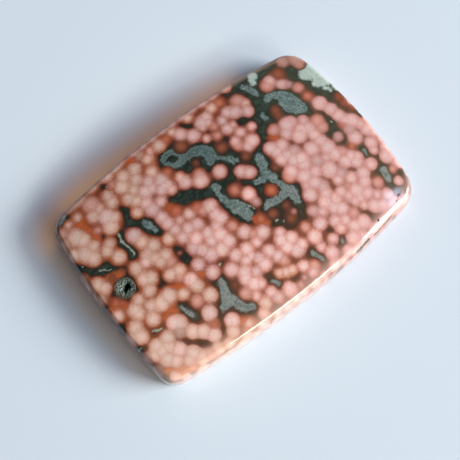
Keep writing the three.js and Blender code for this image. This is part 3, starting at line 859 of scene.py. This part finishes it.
jasper = {
    # from the middle of an orb out to its skin
    "pinkOrb": [(0, (234, 196, 189)), (.4, (228, 181, 172)), (.65, (217, 160, 149)), (.84, (196, 132, 117)),
                (1, (160, 97, 80))],
    "peachOrb": [(0, (238, 203, 182)), (.4, (230, 185, 161)), (.65, (217, 162, 135)), (.84, (197, 131, 100)),
                 (1, (164, 92, 59))],
    "deepOrb": [(0, (222, 152, 134)), (.4, (208, 126, 103)), (.65, (190, 104, 79)), (.84, (170, 90, 66)),
                (1, (146, 76, 55))],
    "emberOrb": [(0, (208, 122, 88)), (.5, (194, 102, 66)), (.84, (172, 84, 52)), (1, (148, 70, 43))],
    "dullOrb": [(0, (148, 82, 50)), (.6, (122, 68, 42)), (1, (80, 54, 40))],
    # from there on into the gap
    "pinkGap": [(0, (176, 104, 86)), (.13, (138, 76, 60)), (.27, (86, 54, 43)), (.4, (52, 45, 36)),
                (.65, (42, 45, 35)), (1, (36, 48, 41))],
    "peachGap": [(0, (184, 104, 68)), (.15, (148, 77, 47)), (.3, (98, 57, 40)), (.45, (56, 45, 35)),
                 (.7, (43, 45, 35)), (1, (37, 48, 41))],
    "deepGap": [(0, (140, 72, 52)), (.2, (106, 58, 43)), (.45, (76, 50, 38)), (.7, (50, 46, 36)),
                (1, (38, 48, 41))],
    "dullGap": [(0, (84, 56, 44)), (.2, (66, 50, 39)), (.5, (46, 46, 35)), (1, (38, 48, 41))],
    "shrink": {"west": 0.03, "east": -0.04},  # millimetres off every orb
    "orbDepth": 0.8,  # millimetres from an orb's skin in to its middle colour
    "gapReach": 1.0,  # and out to the far end of the gap colours
    "wobble": 0.16,  # how ragged the outlines are: orbs, then pools
    "poolWobble": 0.7,
    "grains": 5.5,  # per millimetre
    "pitGrains": 8.0,
    "roughness": 0.075,
    "ior": 1.54,
    "scatter": {"weight": 0.8, "radius": (1.0, 0.45, 0.3), "depth": 1.0},
    "bump": {"strength": 0.05, "depth": 0.02},
}
jasperTones = {
    # laid over the orbs; the east tone is a painted sheen and the south west tone is painted light
    "centre": (244, 218, 210), "paleGrain": (244, 218, 213), "darkGrain": (172, 108, 94),
    "mottle": (216, 142, 122), "eastSheen": (204, 162, 158), "southWestLight": (242, 212, 196),
    "seam": (206, 128, 106),
    # laid over the gaps; a pair of tones is mixed by the grain
    "moss": (74, 88, 70), "eastGap": (96, 98, 80), "southGap": (128, 92, 69),
    "ember": ((184, 78, 36), (226, 122, 68)), "southEmber": (228, 138, 92),
    "teal": ((92, 112, 106), (148, 163, 157)), "greyTeal": (158, 155, 146), "northTeal": (70, 88, 82),
    "tealPatch": (66, 82, 75), "tealRim": (150, 166, 160), "tealPit": (58, 72, 66),
    "pale": ((158, 178, 162), (214, 222, 212)), "sliver": ((132, 136, 116), (186, 190, 168)),
    # laid over the edge: a pale wash of painted light through the thin edge and painted reflection on the
    # south wall, with painted shade at that wall's east end, and painted glows on the shoulders; two tones
    # are for its west and its east
    "southRimLight": ((226, 206, 196), (146, 130, 124)), "northRimLight": (244, 214, 200),
    "southGlow": ((252, 212, 188), (244, 202, 192)), "northGlow": (250, 208, 190),
    # then the south wall's marks, and painted shade for the pinholes' pits
    "mark": (64, 72, 60), "pinholeShade": (36, 34, 32),
}


def readPlace():
    # what the jasper's colours depend on at each place
    at = SimpleNamespace(place=placeInMillimetres())
    along = addNode("ShaderNodeSeparateXYZ", {0: at.place}).outputs
    at.x, at.y = along["X"], along["Y"]
    at.speckle, at.mottle = addGrain(at.place, jasper["grains"])
    at.ragged = noiseAt(at.place, 2.4, 3, 0.6, 0.3)
    at.broad = noiseAt(at.place, 0.3, 2)
    for name in ("Seam", "Warm", "Deep", "Dull", "Light"):
        setattr(at, name.lower(), field("orb" + name))
    uneven = calc("SUBTRACT", at.ragged, 0.5)
    wobble, at.poolWobble = times(uneven, jasper["wobble"]), times(uneven, jasper["poolWobble"])
    shrink = between(at.x, 5, 11, jasper["shrink"]["west"], jasper["shrink"]["east"])
    at.edge = plus(plus(field("orbEdge"), shrink), wobble)
    at.share = plus(field("orbShare"), wobble)
    return at


def byWarmth(at, value, cool, hot):
    return mix(at.warm, colourRamp(value, jasper[cool]), colourRamp(value, jasper[hot]))


def orbColour(at):
    tones = jasperTones
    rise = timesPlus(at.edge, 1 / jasper["orbDepth"], 1.0, clamp=True)
    # the light tone carries the painted shade towards the north west, and scales each orb and its pale centre
    level = between(at.light, 0, 1, 0.85, 1.19)
    grey = addNode("ShaderNodeCombineColor", {0: level, 1: level, 2: level}).outputs[0]
    lit = calc("SUBTRACT", 1.0, calc("MAXIMUM", at.deep, at.dull))
    centre = times(between(at.share, 0.7, 0.05), times(at.light, lit))
    # painted light: where the south west orbs are made paler
    southWest = times(between(at.x, -2, -14), between(at.y, -3, -11))
    return layered(
        mix(1.0, byWarmth(at, rise, "pinkOrb", "peachOrb"), grey, "MULTIPLY"),
        (times(centre, 0.6), tones["centre"]),
        (between(at.speckle, 0.35, 0.75, 0, 0.2), tones["paleGrain"]),
        (between(at.speckle, 0.38, 0.2, 0, 0.26), tones["darkGrain"]),
        (between(at.mottle, 0.52, 0.72, 0, 0.35), tones["mottle"]),
        # painted sheen towards the east, then painted light on the south west orbs
        (between(at.x, 2, 14, 0, 0.4), tones["eastSheen"]),
        (times(southWest, 0.36), tones["southWestLight"]),
        (times(between(at.seam, 0.3, 0), between(at.broad, 0.3, 0.7, 0, 0.3)), tones["seam"]),
        (at.deep, byWarmth(at, rise, "deepOrb", "emberOrb")),
        (at.dull, colourRamp(rise, jasper["dullOrb"])),
    )


def gapColour(at):
    tones = jasperTones
    nearest = calc("MINIMUM", calc("MINIMUM", field("tealEdge"), field("darkEdge")), field("paleEdge"))
    stretch = timesPlus(between(nearest, 0.7, 0), 0.9, 0.75)  # darkens sooner beside a pool
    gapAt = calc("DIVIDE", times(at.edge, stretch), jasper["gapReach"])
    southern = between(at.y, -2, -11)
    ember = mix(southern, mix(at.ragged, *tones["ember"]), tones["southEmber"])
    return layered(
        byWarmth(at, gapAt, "pinkGap", "peachGap"),
        (at.deep, colourRamp(gapAt, jasper["deepGap"])),
        (at.dull, colourRamp(gapAt, jasper["dullGap"])),
        (times(between(at.mottle, 0.35, 0.7), between(gapAt, 0.35, 0.8, 0, 0.55)), tones["moss"]),
        (between(at.x, 5, 18, 0, 0.4), tones["eastGap"]),
        (times(southern, 0.42), tones["southGap"]),
        (between(field("emberEdge"), 0.5, -0.35, 0, 0.75), ember),
    )


def addPools(at, gap):
    tones = jasperTones
    clear = between(at.edge, 0.1, 0.4)  # pools end at an orb's skin
    depth = plus(field("tealEdge"), at.poolWobble)
    northern = times(between(at.y, 3, 7), between(at.x, 9, 5, 0, 0.4))
    patches = times(between(at.mottle, 0.56, 0.42), between(depth, 0, -0.3))
    pits, _ = addGrain(at.place, jasper["pitGrains"])
    teal = layered(
        mix(between(at.speckle, 0.2, 0.8), *tones["teal"]),
        (between(at.y, 3, -8, 0, 0.75), tones["greyTeal"]),
        (northern, tones["northTeal"]),
        (times(patches, 0.4), tones["tealPatch"]),
        (between(depth, -0.28, -0.05, 0, 0.25), tones["tealRim"]),
        (between(pits, 0.34, 0.24, 0, 0.7), tones["tealPit"]),
    )
    paleShare = between(plus(field("paleEdge"), at.poolWobble), 0.15, -0.3)
    sliverDepth = timesPlus(at.poolWobble, 0.5, field("sliverEdge"))
    return layered(
        gap,
        (times(between(depth, 0.18, -0.18), clear), teal),
        (times(paleShare, clear), mix(at.speckle, *tones["pale"])),
        (between(sliverDepth, 0.04, -0.08), mix(at.speckle, *tones["sliver"])),
    )


def addEdge(at, colour):
    # the thin edge: a pale wash of painted light through it and painted reflection on the south wall, painted
    # glows on the north and south shoulders, and the marks on the south wall
    tones = jasperTones
    drop = field("edgeDrop")
    eastward = between(at.x, -4, 9)
    # painted light over the edge, with painted shade at the east end of the south wall
    rim = mix(between(at.y, -8, 6), mix(eastward, *tones["southRimLight"]), tones["northRimLight"])
    southLightShare = times(between(at.y, -12, -8, 1, 0), timesPlus(eastward, -0.22, 0.58))
    # painted glows of light through the stone, near the north and south shoulders
    northGlow = times(between(field("northInside"), 1.5, 0.45, 0, 0.65), between(drop, 2.4, 1))
    southGlow = times(between(field("southInside"), 2.8, 0.9, 0, 0.42), between(drop, 0.8, 0.2))
    markDepth = timesPlus(at.poolWobble, 0.4, field("markEdge"))
    return layered(
        colour,
        (times(between(drop, 0.15, 1.2), calc("MAXIMUM", southLightShare, 0.25)), rim),
        (northGlow, tones["northGlow"]),
        (southGlow, mix(between(at.x, -12, 8), *tones["southGlow"])),
        (between(markDepth, 0.12, -0.12, 0, 0.85), tones["mark"]),
    )


def makeJasper():
    material = startMaterial("orbicular jasper, polished")
    at = readPlace()
    outside = between(at.edge, timesPlus(at.deep, -0.3, -0.08), timesPlus(at.deep, 0.14, 0.08))
    colour = addEdge(at, mix(outside, orbColour(at), addPools(at, gapColour(at))))
    # painted shade in the pinholes' pits, which also lose their polish
    pinShade = between(field("pinEdge"), 0.06, -0.06)
    polish = timesPlus(at.broad, 0.06, jasper["roughness"] - 0.03)
    bump = addNode("ShaderNodeBump", {
        "Strength": jasper["bump"]["strength"],
        "Distance": jasper["bump"]["depth"] * mm,
        "Height": plus(at.speckle, at.ragged),
    })
    addShader({
        "Base Color": mix(pinShade, colour, jasperTones["pinholeShade"]),
        "Roughness": timesPlus(pinShade, 0.7, polish),
        "IOR": jasper["ior"],
        "Subsurface Weight": jasper["scatter"]["weight"],
        "Subsurface Radius": jasper["scatter"]["radius"],
        "Subsurface Scale": jasper["scatter"]["depth"] * mm,
        "Normal": bump.outputs[0],
    })
    return material


# Druzy crust in the hollow
crustSizes = {
    # radius and depth below the dome, from the middle of the underside round to the bottom of the hole
    "profile": [
        (0, 1.85), (.75, 1.68), (1.16, 1.05), (1.3, .5), (1.36, .03), (1.3, -.02), (1.18, 0), (1.02, .07),
        (.84, .17), (.68, .3), (.54, .5), (.44, .8), (.36, 1.15), (.25, 1.32), (0, 1.38),
    ],
    "underside": 4,  # rings of the profile below the rim
    "steps": 72,
    "lastRing": 0.1,  # size of the ring at the bottom of the hole, as a share of the one before
    # the hole is off the middle of the ring, longer than wide, and turned from the stone's length by degrees
    "hole": {"shift": (0.24, -0.04), "stretch": 1.3, "squeeze": 0.7, "turn": 24, "outer": 1.2, "inner": 0.6},
    "rough": {"scale": 5.5, "aside": 0.1, "up": 0.05, "within": 1.25},
    "smoothBelow": 25,  # degrees
}
crystals = {
    "count": 150,
    "seed": 3,
    "radius": 0.085,
    "length": 0.2,
    "tip": {"length": 1.1, "width": 0.12},  # as shares of the radius
    "ring": {"inner": 0.52, "width": 0.74},
    "sunk": 0.1,  # below the lining
    "inward": {"least": 0.3, "more": 0.9},  # lean towards the hole, more in its middle
    "lean": 0.35,  # spread of the lean to all sides
    "size": (0.6, 1.25),
    "shrink": {"inner": 1.1, "less": 0.35},  # smaller towards the rim
}


def hollowFrame():
    slopeX = -2 * stoneSizes["lengthSag"] * hollow["x"] / (stoneSizes["cornerLength"] / 2) ** 2
    slopeY = -2 * stoneSizes["widthSag"] * hollow["y"] / (stoneSizes["cornerWidth"] / 2) ** 2
    square = Vector((-slopeX, -slopeY, 1)).normalized()
    turn = Vector((0, 0, 1)).rotation_difference(square).to_matrix().to_4x4()
    place = Vector((hollow["x"], hollow["y"], domeHeight(hollow["x"], hollow["y"]))) * mm
    return Matrix.Translation(place) @ turn


def liningAt(radius):
    # depth of the crust's inner slope at a radius
    radii, depths = zip(*crustSizes["profile"][:crustSizes["underside"] + 1:-1])
    return float(np.interp(radius, radii, depths))


def shiftHole(x, y, radius):
    # slides, stretches and turns the inner rings towards the hole's own middle
    hole = crustSizes["hole"]
    share = max(0.0, min(1.0, (hole["outer"] - radius) / (hole["outer"] - hole["inner"])))
    cos, sin = math.cos(math.radians(hole["turn"])), math.sin(math.radians(hole["turn"]))
    along = (x * cos + y * sin) * (1 + (hole["stretch"] - 1) * share)
    across = (y * cos - x * sin) * (1 + (hole["squeeze"] - 1) * share)
    shiftX, shiftY = hole["shift"]
    return along * cos - across * sin + shiftX * share, along * sin + across * cos + shiftY * share


def resizeRing(size, height=0.0):
    bpy.ops.transform.resize(value=(size, size, 1), center_override=(0, 0, height * mm))


def extrudeRing(rise):
    bpy.ops.mesh.extrude_edges_move(TRANSFORM_OT_translate={"value": (0, 0, rise * mm)})


def makeCrust():
    selectNothing()
    profile, steps = crustSizes["profile"], crustSizes["steps"]
    radius, depth = profile[1]
    bpy.ops.mesh.primitive_circle_add(vertices=steps, radius=radius * mm, location=(0, 0, -depth * mm))
    crust = bpy.context.object
    crust.name = "druzy_lining"
    bpy.ops.object.transform_apply(location=True, rotation=False, scale=False)
    setMode("EDIT")
    bpy.ops.mesh.select_all(action="SELECT")
    for (before, depthBefore), (radius, depth) in zip(profile[1:], profile[2:]):
        extrudeRing(depthBefore - depth)
        resizeRing(radius / before or crustSizes["lastRing"])
    bpy.ops.mesh.edge_face_add()
    bpy.ops.mesh.select_all(action="DESELECT")
    bpy.ops.mesh.select_non_manifold()
    bpy.ops.mesh.edge_face_add()
    faceOutward()
    rough = crustSizes["rough"]
    points = readPoints(crust) / mm
    for n, (x, y, z) in enumerate(points):
        radius = math.hypot(x, y)
        if n >= crustSizes["underside"] * steps:
            points[n, :2] = shiftHole(x, y, radius)
        if radius < rough["within"]:
            bump = noise.noise(Vector((x, y, z)) * rough["scale"])
            points[n] += np.array((x * rough["aside"], y * rough["aside"], rough["up"])) * bump
    writePoints(crust, points * mm)
    return crust


def makeCrystal(radius, length):
    # six-sided prism with a pointed end, rooted at the origin
    selectNothing()
    bpy.ops.mesh.primitive_cylinder_add(vertices=6, radius=radius * mm, depth=length * mm,
                                        location=(0, 0, length / 2 * mm))
    crystal = bpy.context.object
    bpy.ops.object.transform_apply(location=True, rotation=False, scale=False)
    top = np.array([face.normal.z > 0.9 for face in crystal.data.polygons])
    for item in (crystal.data.vertices, crystal.data.edges):
        item.foreach_set("select", np.zeros(len(item), bool))
    crystal.data.polygons.foreach_set("select", top)
    setMode("EDIT")
    bpy.ops.mesh.select_mode(type="FACE")
    tip = radius * crystals["tip"]["length"]
    bpy.ops.mesh.extrude_region_move(TRANSFORM_OT_translate={"value": (0, 0, tip * mm)})
    resizeRing(crystals["tip"]["width"], length + tip)
    setMode("OBJECT")
    return crystal


def growCrystals():
    rng = np.random.default_rng(crystals["seed"])
    ring, inwardness, shrink = crystals["ring"], crystals["inward"], crystals["shrink"]
    pattern = makeCrystal(crystals["radius"], crystals["length"])
    golden = math.pi * (3 - math.sqrt(5))  # spreads them evenly
    grown = []
    for n in range(crystals["count"]):
        share = (n + 0.5) / crystals["count"]
        radius = ring["inner"] + ring["width"] * math.sqrt(share)
        outward = Vector((math.cos(n * golden), math.sin(n * golden), 0))
        crystal = pattern.copy()
        crystal.data = pattern.data.copy()
        bpy.context.collection.objects.link(crystal)
        x, y = shiftHole(radius * math.cos(n * golden), radius * math.sin(n * golden), radius)
        root = Vector((x, y, -liningAt(radius) - crystals["sunk"])) * mm
        lean = Vector((rng.normal(0, crystals["lean"]), rng.normal(0, crystals["lean"]), 1.0))
        lean -= outward * (inwardness["least"] + inwardness["more"] * (1 - share))
        turn = Vector((0, 0, 1)).rotation_difference(lean.normalized()).to_matrix().to_4x4()
        size = rng.uniform(*crystals["size"]) * (shrink["inner"] - shrink["less"] * share)
        spin = Matrix.Rotation(rng.uniform(0, math.pi), 4, "Z")
        crystal.data.transform(Matrix.Translation(root) @ turn @ spin @ Matrix.Scale(size, 4))
        grown.append(crystal)
    bpy.data.objects.remove(pattern)
    return grown


def makeDruzy():
    crust = makeCrust()
    grown = growCrystals()
    selectOnly(crust)
    for crystal in grown:
        crystal.select_set(True)
    bpy.ops.object.join()
    crust.data.transform(hollowFrame())
    selectOnly(crust)
    bpy.ops.object.shade_smooth_by_angle(angle=math.radians(crustSizes["smoothBelow"]))
    print("druzy crust modelled:", len(crust.data.polygons), "faces")
    return crust


druzyLook = {
    "grains": 7.0,  # per millimetre
    "quartz": ((90, 102, 90), (140, 152, 138)),
    "moss": (104, 108, 84),
    "rim": (92, 66, 46),
    "rimShift": 0.1,  # its brown is measured from here, east of the middle
    "shadow": (14, 18, 18),
    "ior": 1.54,
}


def makeDruzyMaterial():
    material = startMaterial("druzy quartz, grey green")
    place = placeInMillimetres()
    speckle, mottle = addGrain(place, druzyLook["grains"])
    surface = float(domeHeight(hollow["x"], hollow["y"]))
    middle = (hollow["x"] + druzyLook["rimShift"], hollow["y"], surface)
    away = addNode("ShaderNodeVectorMath", {0: place, 1: middle}, operation="DISTANCE").outputs["Value"]
    height = addNode("ShaderNodeSeparateXYZ", {0: place}).outputs["Z"]
    colour = layered(
        mix(between(speckle, 0.25, 0.75), *druzyLook["quartz"]),
        (between(mottle, 0.4, 0.7, 0, 0.5), druzyLook["moss"]),
        (between(away, 0.8, 1.3, 0, 0.85), druzyLook["rim"]),
        (between(height, surface - 0.25, surface - 0.75), druzyLook["shadow"]),
    )
    roughness = between(speckle, 0.2, 0.8, 0.35, 0.6)
    addShader({"Base Color": colour, "Roughness": roughness, "IOR": druzyLook["ior"]})
    return material


# Floor, light and camera
floorLook = {"size": 3.0, "colour": (218, 228, 235), "roughness": 0.8}
worldLook = {"colour": (206, 216, 240), "strength": 0.105}
lights = {
    "window": {"azimuth": -42.2, "elevation": 27.5, "distance": 1.6, "width": 0.95, "height": 0.6,
               "power": 28, "colour": (255, 250, 240)},
    "strip": {"azimuth": -82.5, "elevation": 30.5, "distance": 1.6, "width": 0.66, "height": 0.195,
              "power": 7.4, "colour": (255, 249, 236)},
    "fill": {"azimuth": -48, "elevation": 31, "distance": 1.6, "width": 0.5, "height": 0.3,
             "power": 6.4, "colour": (255, 249, 236)},
    "cloud": {"azimuth": -40, "elevation": 41, "distance": 1.6, "width": 0.92, "height": 0.92,
              "power": 11, "colour": (172, 211, 255)},
    "sky": {"azimuth": -13.9, "elevation": 57.6, "distance": 0.514, "width": 0.034, "height": 0.026,
            "power": 0.034, "colour": (200, 220, 250)},
}
# light that has passed through the stone and warms its shadow: sizes and places in millimetres
glows = {
    "north": {"place": (-3, 14.9, 2.4), "azimuth": 91, "dip": 35, "width": 30, "height": 3, "power": 0.00027},
    "corner": {"place": (-20.6, 13.0, 2.4), "azimuth": 140, "dip": 35, "width": 5, "height": 3,
               "power": 0.00003},
    "west": {"place": (-21.4, 1, 2.4), "azimuth": 180, "dip": 35, "width": 22, "height": 3, "power": 0.00004},
}
glowColour = (255, 174, 90)
view = {
    "azimuth": -38.222,
    "elevation": 75.404,
    "place": (-16.092, -19.276, 88.792),  # millimetres
    "near": 0.005,
    "sensor": 36,
    "focalPixels": 700,
    "imagePixels": 460,
}


def makeFloor():
    selectNothing()
    bpy.ops.mesh.primitive_plane_add(size=floorLook["size"], location=(0, 0, 0))
    floor = bpy.context.object
    floor.name = "floor"
    floor.data.materials.append(startMaterial("pale matt floor"))
    addShader({"Base Color": floorLook["colour"], "Roughness": floorLook["roughness"]})


def direction(azimuth, elevation):
    azimuth, elevation = math.radians(azimuth), math.radians(elevation)
    flat = math.cos(elevation)
    return Vector((math.cos(azimuth) * flat, math.sin(azimuth) * flat, math.sin(elevation)))


def addLamp(name, look, colour, place, outward, unit=1.0):
    # an area lamp that turns its back to the outward direction
    data = bpy.data.lights.new(name, "AREA")
    data.shape = "RECTANGLE"
    data.size, data.size_y = look["width"] * unit, look["height"] * unit
    data.energy = look["power"]
    data.color = paint(*colour)[:3]
    lamp = bpy.data.objects.new(name, data)
    lamp.location = place
    lamp.rotation_euler = outward.to_track_quat("Z", "Y").to_euler()
    bpy.context.scene.collection.objects.link(lamp)
    return lamp


def makeLights():
    for name, look in lights.items():
        outward = direction(look["azimuth"], look["elevation"])
        lamp = addLamp(name, look, look["colour"], outward * look["distance"], outward)
        lamp.visible_glossy = name != "fill"  # the fill only lightens, and isn't mirrored in the polish
    for name, glow in glows.items():
        outward = -direction(glow["azimuth"], -glow["dip"])
        lamp = addLamp("glow " + name, glow, glowColour, Vector(glow["place"]) * mm, outward, mm)
        lamp.visible_camera = lamp.visible_glossy = False
    world = bpy.data.worlds.new("soft studio")
    world.use_nodes = True
    background = world.node_tree.nodes["Background"]
    background.inputs["Color"].default_value = paint(*worldLook["colour"])
    background.inputs["Strength"].default_value = worldLook["strength"]
    bpy.context.scene.world = world
    bpy.context.scene.view_settings.view_transform = "Standard"


def makeCamera():
    back, right = direction(view["azimuth"] - 90, view["elevation"]), direction(view["azimuth"], 0)
    turn = Matrix((right, back.cross(right), back)).transposed().to_4x4()
    data = bpy.data.cameras.new("photo view")
    data.sensor_width = view["sensor"]
    data.lens = data.sensor_width * view["focalPixels"] / view["imagePixels"]
    data.clip_start = view["near"]
    camera = bpy.data.objects.new("photo view", data)
    camera.matrix_world = Matrix.Translation(Vector(view["place"]) * mm) @ turn
    bpy.context.scene.collection.objects.link(camera)
    bpy.context.scene.camera = camera


stone = makeStone()
paintFields(stone)
stone.data.materials.append(makeJasper())
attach(stone, "root")
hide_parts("stone")

druzy = makeDruzy()
druzy.data.materials.append(makeDruzyMaterial())
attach(druzy, "root")
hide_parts("druzy_crust")

makeFloor()
makeLights()
makeCamera()
print("light and camera set")
